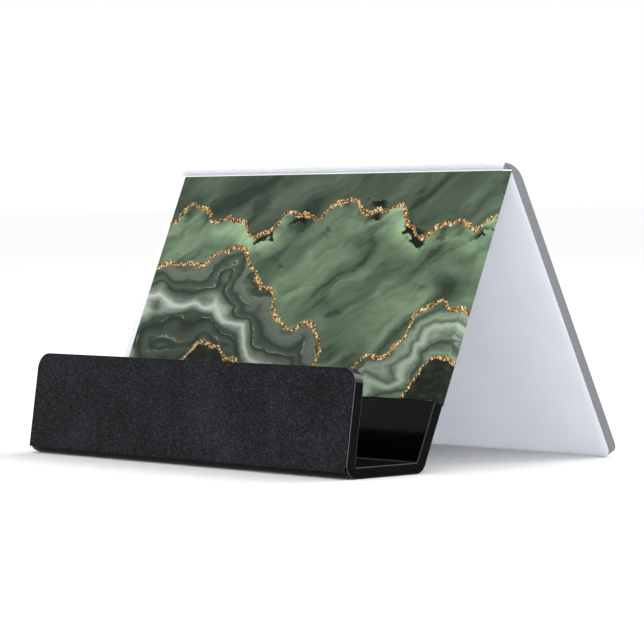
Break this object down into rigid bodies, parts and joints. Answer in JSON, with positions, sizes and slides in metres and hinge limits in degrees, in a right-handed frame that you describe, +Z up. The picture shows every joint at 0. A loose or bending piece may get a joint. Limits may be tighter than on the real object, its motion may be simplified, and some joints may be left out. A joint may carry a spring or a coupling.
{
  "type": "desk card holder",
  "caption": "Desk card holder: black open-ended tray for business cards in front of a folded white panel with a green agate print.",
  "frame": {"origin": "bottom centre of the whole holder's box, on the desk", "axes": "+X along the holder from its left end to its right end as seen from the front, +Y from the tray towards the rear leg, +Z up"},
  "size_m": [0.095, 0.0694, 0.0559],
  "materials": {
    "tray_gloss_black": "glossy black acrylic sheet, polished inside and on its cut ends",
    "facing_grained_black": "fine-grained matte black vinyl with pale specks",
    "panel_white": "satin white acrylic sheet, slightly greyer on its cut ends",
    "print_green_agate": "satin laminated print: banded green agate with printed gold seams",
    "splice_white": "plain matte white plastic strip",
    "tape_white_foam": "closed-cell foam mounting tape"
  },
  "bodies": {
    "root": {"card_tray": "tray_gloss_black", "tray_facing": "facing_grained_black", "display_panel": "panel_white", "print_film": "print_green_agate", "splice_plate": "splice_white", "lower_tape": "tape_white_foam", "upper_tape": "tape_white_foam"}
  },
  "joints": []
}
